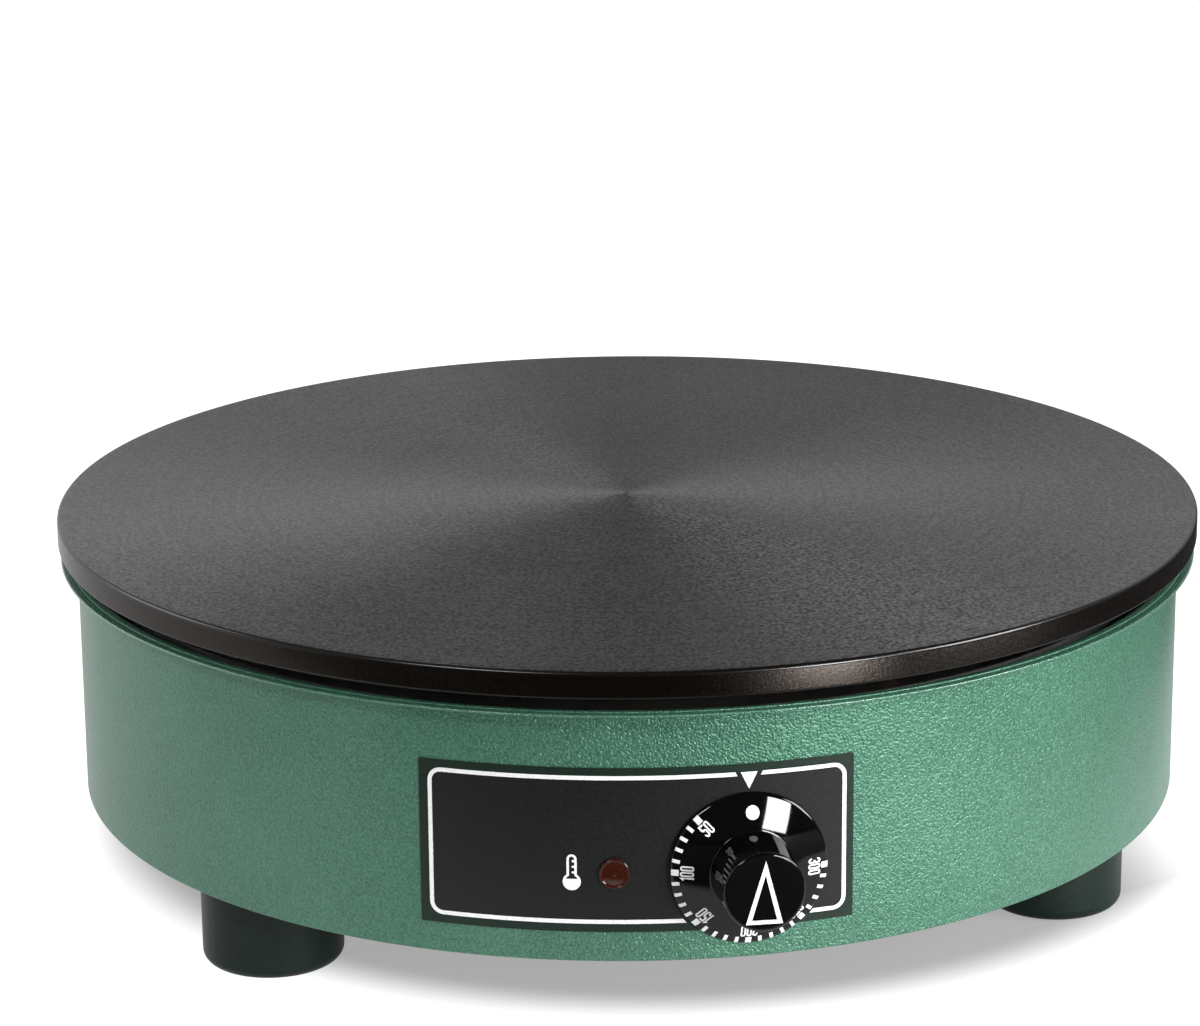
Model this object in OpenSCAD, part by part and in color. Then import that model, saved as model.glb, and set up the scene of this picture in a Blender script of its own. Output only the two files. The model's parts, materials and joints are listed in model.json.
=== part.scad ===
// Electric crepe maker: a round cast-iron plate on a painted steel drum with three feet.
// Lengths are in millimetres. The origin is on the floor under the middle of the plate,
// +Z is up, and the dial faces -Y.

/* [Cooking plate] */
// Diameter of the cast-iron cooking plate
plate_d = 400; // [396:1:404]
// Thickness of the plate
plate_t = 9; // [8:0.5:11]
// Radius of the plate's top edge
plate_top_edge = 1.3; // [0.5:0.1:2]
// Radius of the plate's bottom edge
plate_bottom_edge = 1; // [0.5:0.1:2]
// Air gap between the drum's flange and the plate
plate_gap = 5; // [4:0.5:8]

/* [Drum] */
// Outer diameter of the drum's wall
drum_d = 387; // [384:0.2:390]
// Outer diameter of the drum's top flange
flange_d = 398.4; // [394:0.2:400]
// Height of the drum, flange included
drum_h = 84; // [80:1:100]
// Thickness of the drum's sheet
sheet_t = 1.2; // [1:0.1:1.5]
// Width of the inward lip at the drum's foot
lip_w = 16.5; // [14:0.5:18]

/* [Feet] */
// Height of the drum's bottom edge above the floor
foot_h = 35; // [28:1:40]
// Diameter of a foot at its top
foot_top_d = 48; // [40:0.2:50]
// Diameter of a foot at the floor, before its edge radius
foot_bottom_d = 47.8; // [38:0.2:50]
// Radius of a foot's bottom edge
foot_edge = 4; // [1:0.5:5]
// Radius of the circle that the feet stand on
foot_circle_r = 157.3; // [150:0.1:160]
// Angle that the feet are turned from the dial's axis, in degrees
feet_turn = -1.2; // [-2:0.1:2]

/* [Control label] */
// Height of the label
label_h = 54.6; // [50:0.2:60]
// Height of the label's middle above the floor
label_z = 72.4; // [68:0.1:76]
// Angle that the label reaches to the left of the dial, in degrees
label_left = 31; // [28:0.5:34]
// Angle that the label reaches to the right of the dial, in degrees
label_right = 10.2; // [9.5:0.1:14]
// Thickness of the label
label_t = 0.3; // [0.2:0.1:0.5]

/* [Dial] */
// Height of the dial's axis above the floor
dial_z = 65.3; // [62:0.1:68]
// Diameter of the dial's skirt
dial_d = 50.4; // [49:0.2:54]
// Diameter of the grip at its root
grip_root_d = 26.8; // [24:0.2:28]
// Diameter of the grip at its face
grip_face_d = 26.1; // [23:0.1:27]
// Distance from the skirt's back to the grip's face
knob_l = 22; // [20:0.5:25]
// Radius of the skirt's dome
dome_r = 62; // [56:1:64]

/* [Pilot lamp] */
// Height of the lamp's axis above the floor
lamp_z = 64.9; // [62:0.1:68]
// Angle of the lamp to the left of the dial, in degrees
lamp_angle = 12.5; // [12:0.5:15]
// Diameter of the lens
lens_d = 10.2; // [9:0.2:12]

/* [Heating] */
// Diameter of the tubular elements
element_d = 8.5; // [6.5:0.5:8.5]
// Radius of the outer element's loop
outer_loop_r = 165; // [160:1:170]
// Radius of the inner element's loop
inner_loop_r = 95; // [90:1:100]
// Radius of the circle of plate studs
stud_circle_r = 130; // [125:1:135]
// Thickness of the ceramic-fibre pad
pad_t = 20; // [15:1:20]

/* [Cord gland] */
// Height of the gland's axis above the floor
gland_z = 70; // [68:0.5:72]
// Diameter of the cord that the seal grips
cord_d = 10; // [8:0.5:10.5]

/* [Hidden] */
$fn = 96;

// Fasteners: shank radius, clearance hole, nut height and width across flats
m4_r = 2;
m4_clear_r = 2.2;
m5_r = 2.5;
m5_nut = [8, 4];
m6_r = 3;
m6_clear_r = 3.2;
m6_nut = [10, 5];
m8_r = 4;
m8_nut = [13, 6.5];
tapping_r = 1.75;

// Heights, from the floor up
drum_top = foot_h + drum_h;
plate_under = drum_top + plate_gap;
plate_top = plate_under + plate_t;
cover_t = 1.2;
cover_under = foot_h - cover_t;
lip_top = foot_h + sheet_t;
channel_h = 16;
channel_top = lip_top + channel_h;
channel_t = 2;
element_r = element_d / 2;
element_z = plate_under - element_r;
clamp_t = 3;
clamp_top = element_z - element_r;
clamp_under = clamp_top - clamp_t;
boss_under = clamp_top + 1;
heat_sheet_t = 0.8;
reflector_z = clamp_under - m8_nut[1] - heat_sheet_t;
pad_z = reflector_z - pad_t;
tray_z = pad_z - heat_sheet_t;

// Radii
plate_r = plate_d / 2;
drum_r = drum_d / 2;
drum_in_r = drum_r - sheet_t;
lip_in_r = drum_in_r - lip_w;
label_r = drum_r + label_t;
cover_r = lip_in_r + 11;
cover_screw_circle_r = lip_in_r + 6;
reflector_r = drum_in_r - 8;
tray_r = drum_in_r - 8.5;
pad_r = tray_r - heat_sheet_t - 0.5;
boss_r = 12;
sleeve_r = 6;
pillar_r = 7;
bush_hole_r = 5.5;
lens_hole_r = 4.2;

// The feet, the studs and the channel's arms share three directions, in degrees from +X
front_left = 210 + feet_turn;
front_right = 330 + feet_turn;
rear = 90 + feet_turn;
arm_angles = [front_left, front_right, rear];

// Distances along the dial's axis from the drum's axis
knob_back = label_r + 0.4;
knob_face = knob_back + knob_l;
cap_t = 2;
screw_head_back = label_r - 0.2;
thermostat_front = drum_in_r - 1.3;
thermostat_plate_t = 1;
thermostat_body_front = thermostat_front - thermostat_plate_t;
thermostat_depth = 30;
thermostat_back = thermostat_body_front - thermostat_depth;
thermostat_screw_x = 14;
shaft_r = 3;
bush_r = 4.75;

// Bend and leg of an element's cold end
bend_r = 12;
leg_half_gap = 17;
leg_bottom = tray_z - 8;
bead_h = 6;
tab_l = 10;

// The sensor bulb lies under the plate between the two loops
bulb_r = 3;
bulb_l = 80;
bulb_y = -130;
bulb_screw_y = 9;
capillary_hole = [62, -137];

// Terminal block on the rear arm
block = [36, 22, 18];
block_y = 88;

// ---------------------------------------------------------------- helpers

// Points of an arc from angle a0 to a1 about [cx, cy]
function arc(cx, cy, r, a0, a1, n = 8) =
    [for (i = [0:n]) let (a = a0 + (a1 - a0) * i / n) [cx + r * cos(a), cy + r * sin(a)]];

// A ring with a round hole
module tube(outer, inner, h) {
    difference() {
        cylinder(r = outer, h = h);
        translate([0, 0, -1]) cylinder(r = inner, h = h + 2);
    }
}

// A hexagonal nut: its width across flats and its height, and the hole's radius
module hex_nut(size, hole_r) {
    difference() {
        cylinder(d = size[0] / cos(30), h = size[1], $fn = 6);
        translate([0, 0, -1]) cylinder(r = hole_r, h = size[1] + 2, $fn = 48);
    }
}

// A cross-recessed screw: the head hangs below z = 0 and the shank rises above it
module cross_screw(head_r, head_h, shank_r, shank_l) {
    edge = head_h * 0.35;
    slot = head_r * 0.28;
    difference() {
        union() {
            translate([0, 0, -head_h]) cylinder(r1 = head_r - edge, r2 = head_r, h = edge, $fn = 48);
            translate([0, 0, edge - head_h]) cylinder(r = head_r, h = head_h - edge, $fn = 48);
            cylinder(r = shank_r, h = shank_l, $fn = 48);
        }
        for (a = [0, 90]) rotate([0, 0, a])
            translate([-head_r * 0.55, -slot / 2, -head_h - 1])
                cube([head_r * 1.1, slot, 1 + head_h * 0.6]);
    }
}

// Copies along the three arms, at a radius
module at_arms(radius, angles = arm_angles) {
    for (a = angles) rotate([0, 0, a]) translate([radius, 0, 0]) children();
}

// Local z runs outward along the dial's axis and local y is up
module on_dial_axis() {
    translate([0, 0, dial_z]) rotate([90, 0, 0]) children();
}

// The same for the lamp
module on_lamp_axis() {
    rotate([0, 0, -lamp_angle]) translate([0, 0, lamp_z]) rotate([90, 0, 0]) children();
}

// Inside on_dial_axis, copies at the thermostat's two screws
module at_thermostat_screws() {
    for (x = [-thermostat_screw_x, thermostat_screw_x]) translate([x, 0, 0]) children();
}

// Local z runs outward along the gland's axis
module on_gland_axis() {
    translate([0, 0, gland_z]) rotate([-90, 0, 0]) children();
}

// Half the angle of the break in an element's loop, in whole degrees
function break_half(loop_r) = round(asin((leg_half_gap + bend_r) / loop_r));

// Copies where the cold ends of the elements go down
module at_legs(loops = [outer_loop_r, inner_loop_r]) {
    for (loop_r = loops, side = [0, 1]) mirror([0, side, 0])
        rotate([0, 0, break_half(loop_r)]) translate([loop_r, -bend_r, 0]) children();
}

// Catmull-Rom point between p[i] and p[i + 1]
function spline_point(p, i, t) =
    let (
        n = len(p) - 1,
        a = p[max(i - 1, 0)],
        b = p[i],
        c = p[min(i + 1, n)],
        d = p[min(i + 2, n)]
    )
    0.5 * (2 * b + (c - a) * t + (2 * a - 5 * b + 4 * c - d) * t * t
        + (3 * b - a - 3 * c + d) * t * t * t);

// A smooth route through p with some steps between its points
function smooth_route(p, steps) =
    [for (i = [0:len(p) - 2], s = [0:steps - 1]) spline_point(p, i, s / steps), p[len(p) - 1]];

function unit(v) = v / norm(v);

// A round wire swept along a route; no stretch of the route may run along side_ref
module wire(route, r, side_ref, sides = 8, steps = 4) {
    path = smooth_route(route, steps);
    last = len(path) - 1;
    points = [
        for (i = [0:last])
            let (
                along = unit(
                    i == 0 ? route[1] - route[0]
                    : i == last ? route[len(route) - 1] - route[len(route) - 2]
                    : path[i + 1] - path[i - 1]
                ),
                side = unit(cross(along, side_ref)),
                up = cross(along, side)
            )
            for (k = [0:sides - 1]) path[i] + r * (side * cos(360 * k / sides) + up * sin(360 * k / sides))
    ];
    skin = [
        for (i = [0:last - 1], k = [0:sides - 1])
            let (a = i * sides + k, b = i * sides + (k + 1) % sides)
            [a, a + sides, b + sides, b]
    ];
    first_cap = [[for (k = [0:sides - 1]) k]];
    last_cap = [[for (k = [sides - 1:-1:0]) last * sides + k]];
    polyhedron(points = points, faces = concat(skin, first_cap, last_cap));
}

// ---------------------------------------------------------------- plate and heating

module griddle_plate() {
    hole_depth = plate_t + 3;
    color([0.2, 0.2, 0.19]) difference() {
        union() {
            rotate_extrude($fn = 180) polygon(concat(
                [[0, plate_top], [0, plate_under]],
                arc(plate_r - plate_bottom_edge, plate_under + plate_bottom_edge, plate_bottom_edge, -90, 0),
                arc(plate_r - plate_top_edge, plate_top - plate_top_edge, plate_top_edge, 0, 90)
            ));
            at_arms(stud_circle_r) translate([0, 0, boss_under])
                cylinder(r = boss_r, h = plate_under - boss_under + 1);
        }
        at_arms(stud_circle_r) translate([0, 0, boss_under - 1]) cylinder(r = m8_r, h = hole_depth + 1);
        at_bulb_screws() translate([0, 0, plate_under - 1]) cylinder(r = m4_r, h = 7);
    }
}

module plate_studs() {
    stud_bottom = channel_top - channel_t - m8_nut[1] - 2;
    color("silver") at_arms(stud_circle_r) translate([0, 0, stud_bottom])
        cylinder(r = m8_r, h = plate_under + 2.5 - stud_bottom);
}

module plate_nuts() {
    color("silver") at_arms(stud_circle_r) translate([0, 0, reflector_z + heat_sheet_t])
        hex_nut(m8_nut, m8_r);
}

module clamp_bars() {
    bar_w = 22;
    inner_end = inner_loop_r - 12 - stud_circle_r;
    outer_end = outer_loop_r + 12 - stud_circle_r;
    color("gray") at_arms(stud_circle_r) translate([0, 0, clamp_under]) difference() {
        translate([inner_end, -bar_w / 2, 0]) cube([outer_end - inner_end, bar_w, clamp_t]);
        translate([0, 0, -1]) cylinder(r = m8_r, h = clamp_t + 2);
    }
}

// A round loop with both ends bent down through the heat shield
module heating_element(loop_r) {
    half = break_half(loop_r);
    color([0.35, 0.33, 0.32]) {
        rotate([0, 0, half]) rotate_extrude(angle = 360 - 2 * half)
            translate([loop_r, element_z]) circle(r = element_r);
        for (side = [-1, 1]) rotate([0, 0, side * half]) translate([loop_r, 0, element_z - bend_r]) {
            rotate([0, 0, 90 + 90 * side]) rotate([0, -90, 0]) rotate_extrude(angle = 90)
                translate([bend_r, 0]) circle(r = element_r);
            translate([0, -side * bend_r, leg_bottom - element_z + bend_r])
                cylinder(r = element_r, h = element_z - bend_r - leg_bottom);
        }
    }
}

module outer_element() heating_element(outer_loop_r);

module inner_element() heating_element(inner_loop_r);

module element_beads() {
    color("white") at_legs() translate([0, 0, leg_bottom - bead_h]) cylinder(r = element_r + 1, h = bead_h);
}

module element_tabs() {
    color("silver") at_legs() translate([-3.15, -0.4, leg_bottom - bead_h - tab_l]) cube([6.3, 0.8, tab_l]);
}

// What passes through the heat shield's layers
module shield_holes(stud_hole_r) {
    at_arms(stud_circle_r) translate([0, 0, tray_z - 1]) cylinder(r = stud_hole_r, h = pad_t + 4);
    at_legs() translate([0, 0, tray_z - 1]) cylinder(r = element_r + 2, h = pad_t + 4);
    translate([capillary_hole[0], capillary_hole[1], tray_z - 1]) cylinder(r = 5, h = pad_t + 4);
}

// A thin disc with a rim that stands up from it
module rimmed_disc(radius, z, rim_h) {
    translate([0, 0, z]) rotate_extrude($fn = 144) polygon([
        [0, 0], [radius, 0], [radius, rim_h], [radius - heat_sheet_t, rim_h],
        [radius - heat_sheet_t, heat_sheet_t], [0, heat_sheet_t]
    ]);
}

module heat_reflector() {
    color("lightgray") difference() {
        rimmed_disc(reflector_r, reflector_z, 10);
        shield_holes(m8_r);
    }
}

module insulation_pad() {
    color("ivory") difference() {
        translate([0, 0, pad_z]) cylinder(r = pad_r, h = pad_t);
        shield_holes(sleeve_r);
    }
}

module insulation_tray() {
    color("lightgray") difference() {
        rimmed_disc(tray_r, tray_z, 12);
        shield_holes(m8_r);
    }
}

module stud_sleeves() {
    color("silver") at_arms(stud_circle_r) translate([0, 0, pad_z]) tube(sleeve_r, m8_r, pad_t);
}

// ---------------------------------------------------------------- drum and base

module support_pillars() {
    color("silver") at_arms(stud_circle_r) translate([0, 0, channel_top])
        tube(pillar_r, m8_r, tray_z - channel_top);
}

module pillar_nuts() {
    color("silver") at_arms(stud_circle_r) translate([0, 0, channel_top - channel_t - m8_nut[1]])
        hex_nut(m8_nut, m8_r);
}

// Three channel arms, open downward, that rest on the drum's lip
module support_channel() {
    arm_w = 40;
    arm_l = drum_in_r - 2.5;
    color("gray") difference() {
        for (a = arm_angles) rotate([0, 0, a])
            translate([0, -arm_w / 2, lip_top]) cube([arm_l, arm_w, channel_h]);
        for (a = arm_angles) rotate([0, 0, a])
            translate([-arm_w / 4, channel_t - arm_w / 2, lip_top - 1])
                cube([arm_l + arm_w, arm_w - 2 * channel_t, channel_h - channel_t + 1]);
        at_arms(stud_circle_r) translate([0, 0, channel_top - 5]) cylinder(r = m8_r, h = 10);
        at_arms(foot_circle_r) translate([0, 0, channel_top - 5]) cylinder(r = m6_clear_r, h = 10);
        translate([0, earth_y, channel_top - 5]) cylinder(r = m5_r, h = 10);
    }
}

// Rolled wall with an out-turned flange at the top and a lip turned in at the bottom
module drum_shell() {
    bend_out = 1.5;
    edge = sheet_t / 2;
    color([0.33, 0.55, 0.45]) difference() {
        rotate_extrude($fn = 180) polygon(concat(
            [[lip_in_r, lip_top], [lip_in_r, foot_h], [drum_r - 0.4, foot_h], [drum_r, foot_h + 0.4]],
            arc(drum_r + bend_out, drum_top - sheet_t - bend_out, bend_out, 180, 90, 5),
            arc(flange_d / 2 - edge, drum_top - edge, edge, -90, 90, 6),
            arc(drum_r + bend_out, drum_top - sheet_t - bend_out, bend_out + sheet_t, 90, 180, 5),
            [[drum_in_r, lip_top]]
        ));
        control_holes();
        on_gland_axis() translate([0, 0, drum_in_r - 5]) cylinder(r = gland_thread_r + 0.1, h = 10);
        at_cover_screws() translate([0, 0, foot_h - 1]) cylinder(r = tapping_r, h = 4);
    }
}

// Holes for the bush, its two screws and the lamp, through the drum's wall and the label
module control_holes() {
    on_dial_axis() {
        translate([0, 0, drum_in_r - 5]) cylinder(r = bush_hole_r, h = 10);
        at_thermostat_screws() translate([0, 0, drum_in_r - 5]) cylinder(r = m4_clear_r, h = 10);
    }
    on_lamp_axis() translate([0, 0, drum_in_r - 5]) cylinder(r = lens_hole_r, h = 10);
}

module at_cover_screws() {
    for (a = [0:60:300]) rotate([0, 0, a]) translate([cover_screw_circle_r, 0, 0]) children();
}

// A flat sheet with a stiffening bead and radial vent slots
module base_cover() {
    bead_in = 100;
    bead_out = 108;
    bead_h = 1;
    vent_count = 24;
    vent_in_r = 48;
    vent_l = 36;
    vent_w = 5;
    color([0.55, 0.57, 0.56]) difference() {
        rotate_extrude($fn = 144) polygon([
            [0, cover_under], [bead_in - 1, cover_under], [bead_in, cover_under + bead_h],
            [bead_out, cover_under + bead_h], [bead_out + 1, cover_under],
            [cover_r, cover_under], [cover_r, foot_h], [bead_out + 0.6, foot_h],
            [bead_out - 0.4, foot_h + bead_h], [bead_in + 0.4, foot_h + bead_h],
            [bead_in - 0.6, foot_h], [0, foot_h]
        ]);
        for (i = [0:vent_count - 1]) rotate([0, 0, 360 * (i + 0.5) / vent_count])
            translate([0, 0, cover_under - 1]) linear_extrude(cover_t + 2) {
                translate([vent_in_r, -vent_w / 2]) square([vent_l, vent_w]);
                for (x = [vent_in_r, vent_in_r + vent_l]) translate([x, 0]) circle(d = vent_w, $fn = 32);
            }
        at_arms(foot_circle_r) translate([0, 0, cover_under - 1]) cylinder(r = m6_clear_r, h = 4);
        at_cover_screws() translate([0, 0, cover_under - 1]) cylinder(r = tapping_r, h = 4);
    }
}

module cover_screws() {
    color("silver") at_cover_screws() translate([0, 0, cover_under]) cross_screw(3.5, 2.4, tapping_r, 8);
}

// ---------------------------------------------------------------- feet

foot_seat = 18;
foot_well_r = 8;
washer_t = 1.6;

// A tapered moulded foot with a deep well for its screw
module foot() {
    top_r = foot_top_d / 2;
    bottom_r = foot_bottom_d / 2;
    difference() {
        rotate_extrude($fn = 120) polygon(concat(
            [[0, cover_under], [0, 0]],
            arc(bottom_r - foot_edge, foot_edge, foot_edge, -90, 0, 10),
            [[top_r, cover_under]]
        ));
        translate([0, 0, -1]) cylinder(r = foot_well_r, h = foot_seat + 1);
        translate([0, 0, foot_seat - 1]) cylinder(r = m6_clear_r, h = cover_under);
    }
}

module foot_at(angle) {
    color([0.14, 0.2, 0.18]) at_arms(foot_circle_r, [angle]) foot();
}

module foot_left() foot_at(front_left);

module foot_right() foot_at(front_right);

module foot_rear() foot_at(rear);

module foot_screws() {
    head_z = foot_seat - washer_t;
    color("silver") at_arms(foot_circle_r) translate([0, 0, head_z])
        cross_screw(5.5, 4, m6_r, channel_top + 7 - head_z);
}

module foot_washers() {
    color("silver") at_arms(foot_circle_r) translate([0, 0, foot_seat - washer_t]) tube(7, m6_r, washer_t);
}

module foot_spacers() {
    color("silver") at_arms(foot_circle_r) translate([0, 0, foot_h])
        tube(8, m6_clear_r, channel_top - channel_t - foot_h);
}

module foot_nuts() {
    color("silver") at_arms(foot_circle_r) translate([0, 0, channel_top]) hex_nut(m6_nut, m6_r);
}

// ---------------------------------------------------------------- controls

// A thin sheet curved onto the drum
module control_label() {
    color([0.13, 0.14, 0.14]) difference() {
        rotate([0, 0, -90 - label_left]) rotate_extrude(angle = label_left + label_right, $fn = 180)
            translate([drum_r, label_z - label_h / 2]) square([label_t, label_h]);
        control_holes();
    }
}

lens_back = label_r + 0.1;
lens_barrel_end = drum_in_r - 14;
holder_end = lens_barrel_end - 8;

// A shallow dome on a hollow barrel
module lamp_lens() {
    lens_r = lens_d / 2;
    edge_h = 0.8;
    dome_h = 0.8;
    dome_radius = (lens_r * lens_r + dome_h * dome_h) / (2 * dome_h);
    dome_half = asin(lens_r / dome_radius);
    color([0.42, 0.16, 0.08]) on_lamp_axis() rotate_extrude($fn = 72) polygon(concat(
        [[3.2, lens_barrel_end], [4, lens_barrel_end], [4, lens_back], [lens_r, lens_back]],
        arc(0, lens_back + edge_h + dome_h - dome_radius, dome_radius, 90 - dome_half, 90, 10),
        [[0, lens_back], [3.2, lens_back]]
    ));
}

module lamp_holder() {
    color("white") on_lamp_axis() translate([0, 0, holder_end]) tube(4, 2.6, lens_barrel_end - holder_end);
}

module lamp_neon() {
    color("orange") on_lamp_axis() translate([0, 0, holder_end]) cylinder(r = 2.6, h = 20);
}

module lamp_retainer() {
    color("silver") on_lamp_axis() translate([0, 0, drum_in_r - 1.1]) tube(7, 4, 0.8);
}

module thermostat_plate() {
    plate_w = 44;
    plate_h = 34;
    color("silver") on_dial_axis() translate([0, 0, thermostat_body_front]) difference() {
        translate([-plate_w / 2, -plate_h / 2, 0]) cube([plate_w, plate_h, thermostat_plate_t]);
        translate([0, 0, -1]) cylinder(r = bush_r, h = 3);
        at_thermostat_screws() translate([0, 0, -1]) cylinder(r = m4_r, h = 3);
    }
}

bush_depth = 6;
collar_z = thermostat_body_front - 10;

// A block with a seat for the bush and a chamber for the shaft's collar
module thermostat_body() {
    body_w = 40;
    body_h = 32;
    chamber_r = 5.2;
    chamber_l = 10;
    color("ivory") on_dial_axis() difference() {
        translate([-body_w / 2, -body_h / 2, thermostat_back]) cube([body_w, body_h, thermostat_depth]);
        translate([0, 0, thermostat_body_front - bush_depth]) cylinder(r = bush_r, h = bush_depth + 1);
        translate([0, 0, thermostat_body_front - bush_depth - chamber_l])
            cylinder(r = chamber_r, h = chamber_l + 0.01);
        at_thermostat_screws() translate([0, 0, thermostat_body_front - 8]) cylinder(r = m4_clear_r, h = 9);
    }
}

module thermostat_bush() {
    color("gold") on_dial_axis() translate([0, 0, thermostat_body_front - bush_depth])
        tube(bush_r, shaft_r + 0.05, knob_back + 0.4 - thermostat_body_front + bush_depth);
}

module thermostat_screws() {
    shank_l = screw_head_back - thermostat_body_front + 6;
    color("silver") on_dial_axis() at_thermostat_screws()
        translate([0, 0, screw_head_back]) mirror([0, 0, 1]) cross_screw(3.5, 1.5, m4_r, shank_l);
}

thermostat_tab_x = [-12, 12];
thermostat_tab_l = 8;
thermostat_tab_end = thermostat_tab_l - thermostat_back;

module thermostat_tabs() {
    color("silver") on_dial_axis() for (x = thermostat_tab_x)
        translate([x - 0.4, -8, thermostat_back - thermostat_tab_l]) cube([0.8, 6.3, thermostat_tab_l]);
}

shaft_flat = 2.2;
spring_t = 0.5;
hub_start = knob_back + 1;
hub_end = knob_back + 17;
spigot_r = grip_face_d / 2 - 1.8;

// A D-shaft with a collar inside the thermostat
module thermostat_shaft() {
    shaft_start = thermostat_body_front - 14;
    color("silver") on_dial_axis() difference() {
        union() {
            translate([0, 0, shaft_start]) cylinder(r = shaft_r, h = hub_end - 0.4 - shaft_start, $fn = 48);
            translate([0, 0, collar_z]) cylinder(r = 4.5, h = 2);
        }
        translate([shaft_flat, -5, hub_start]) cube([5, 10, 30]);
    }
}

module knob_spring() {
    color("silver") on_dial_axis() translate([shaft_flat, -1.3, hub_start + 1.5])
        cube([spring_t, 2.6, hub_end - hub_start - 4]);
}

// One moulding: domed skirt, round grip, and a hub for the shaft
module thermostat_knob() {
    skirt_r = dial_d / 2;
    rim_h = 0.35;
    wall = 1.6;
    root_r = grip_root_d / 2;
    face_r = grip_face_d / 2;
    web_z = 2;
    web_t = 2.5;
    hub_r = 6.2;
    cap_seat = knob_l - cap_t;
    rim_slope = asin(skirt_r / dome_r);
    root_slope = asin(root_r / dome_r);
    centre_z = rim_h - dome_r * cos(rim_slope);
    inner_r = dome_r - wall;
    foot_slope = acos(-centre_z / inner_r);
    web_slope = acos((web_z - centre_z) / inner_r);
    hub_l = hub_end - hub_start;
    hub_z = hub_start - knob_back;
    color([0.06, 0.06, 0.06]) on_dial_axis() translate([0, 0, knob_back]) {
        rotate_extrude($fn = 144) polygon(concat(
            [[shaft_r, hub_z], [hub_r, hub_z], [hub_r, web_z]],
            arc(0, centre_z, inner_r, 90 - web_slope, 90 - foot_slope, 10),
            [[skirt_r, 0]],
            arc(0, centre_z, dome_r, 90 - rim_slope, 90 - root_slope, 16),
            [[face_r, cap_seat], [spigot_r, cap_seat], [spigot_r, web_z + web_t]],
            [[hub_r, web_z + web_t], [hub_r, hub_z + hub_l], [shaft_r, hub_z + hub_l]]
        ));
        intersection() {
            translate([shaft_flat + spring_t, -5, hub_z]) cube([5, 10, hub_l]);
            translate([0, 0, hub_z]) cylinder(r = shaft_r + 0.5, h = hub_l);
        }
    }
}

// The grip's flat face with a short spigot behind it
module knob_face_cap() {
    face_r = grip_face_d / 2;
    edge = 0.8;
    spigot_l = 1.5;
    color([0.05, 0.05, 0.05]) on_dial_axis() translate([0, 0, knob_face - cap_t]) rotate_extrude($fn = 144)
        polygon(concat(
            [[0, -spigot_l], [spigot_r, -spigot_l], [spigot_r, 0], [face_r, 0]],
            arc(face_r - edge, cap_t - edge, edge, 0, 90, 6),
            [[0, cap_t]]
        ));
}

// ---------------------------------------------------------------- temperature sensor

module at_bulb_screws() {
    for (y = [-bulb_screw_y, bulb_screw_y]) translate([0, bulb_y + y, 0]) children();
}

module sensor_bulb() {
    color("chocolate") translate([-bulb_l / 2, bulb_y, plate_under - bulb_r]) rotate([0, 90, 0]) {
        cylinder(r = bulb_r, h = bulb_l, $fn = 48);
        translate([0, 0, bulb_l]) cylinder(r1 = bulb_r, r2 = 1.2, h = 3, $fn = 48);
    }
}

// A strap bent round the bulb and screwed to the plate
module bulb_clip() {
    strap_t = 1;
    strap_l = 14;
    wing = 13;
    color("silver") translate([-strap_l / 2, bulb_y, plate_under]) rotate([90, 0, 90]) difference() {
        linear_extrude(strap_l) difference() {
            union() {
                translate([-wing, -strap_t]) square([2 * wing, strap_t]);
                translate([0, -bulb_r]) circle(r = bulb_r + strap_t, $fn = 48);
            }
            translate([0, -bulb_r]) circle(r = bulb_r, $fn = 48);
            translate([-bulb_r, -bulb_r]) square([2 * bulb_r, 2 * bulb_r]);
            translate([-wing, 0]) square([2 * wing, 5]);
        }
        for (x = [-bulb_screw_y, bulb_screw_y]) translate([x, 1, strap_l / 2]) rotate([90, 0, 0])
            cylinder(r = m4_r, h = 4);
    }
}

module bulb_clip_screws() {
    color("silver") at_bulb_screws() translate([0, 0, plate_under - 1]) cross_screw(3.2, 2, m4_r, 6);
}

capillary_r = 1;
capillary_route = [
    [43, -130, 121], [50, -130, 121], [57, -132, 117], [61, -136, 108], [62, -137, 95],
    [60, -138, 82], [50, -140, 74], [32, -142, 71], [14, -144, 70], [5, -150, 70],
    [5, -thermostat_back, 70]
];

module capillary_tube() {
    color("chocolate") wire(capillary_route, capillary_r, [0.2, 1, 0.4]);
}

// ---------------------------------------------------------------- cord gland

gland_hex_end = drum_r + 5.5;
gland_mouth = gland_hex_end + 4;
seal_end = gland_mouth + 8;
gland_end = seal_end + 4.8;
gland_bore_r = cord_d / 2 + 0.6;
gland_thread_r = 8;
gland_neck_r = 9;
gland_af = 22;

module gland_body() {
    thread_end = drum_in_r - 12;
    color([0.1, 0.1, 0.1]) on_gland_axis() difference() {
        union() {
            translate([0, 0, thread_end]) cylinder(r = gland_thread_r, h = drum_r - thread_end);
            translate([0, 0, drum_r]) cylinder(d = gland_af / cos(30), h = gland_hex_end - drum_r, $fn = 6);
            translate([0, 0, gland_hex_end]) cylinder(r = gland_neck_r, h = gland_mouth - gland_hex_end);
        }
        translate([0, 0, thread_end - 1]) cylinder(r = gland_bore_r, h = 60);
    }
}

module gland_seal() {
    color([0.2, 0.2, 0.2]) on_gland_axis() translate([0, 0, gland_mouth])
        tube(gland_thread_r, cord_d / 2, seal_end - gland_mouth);
}

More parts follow.
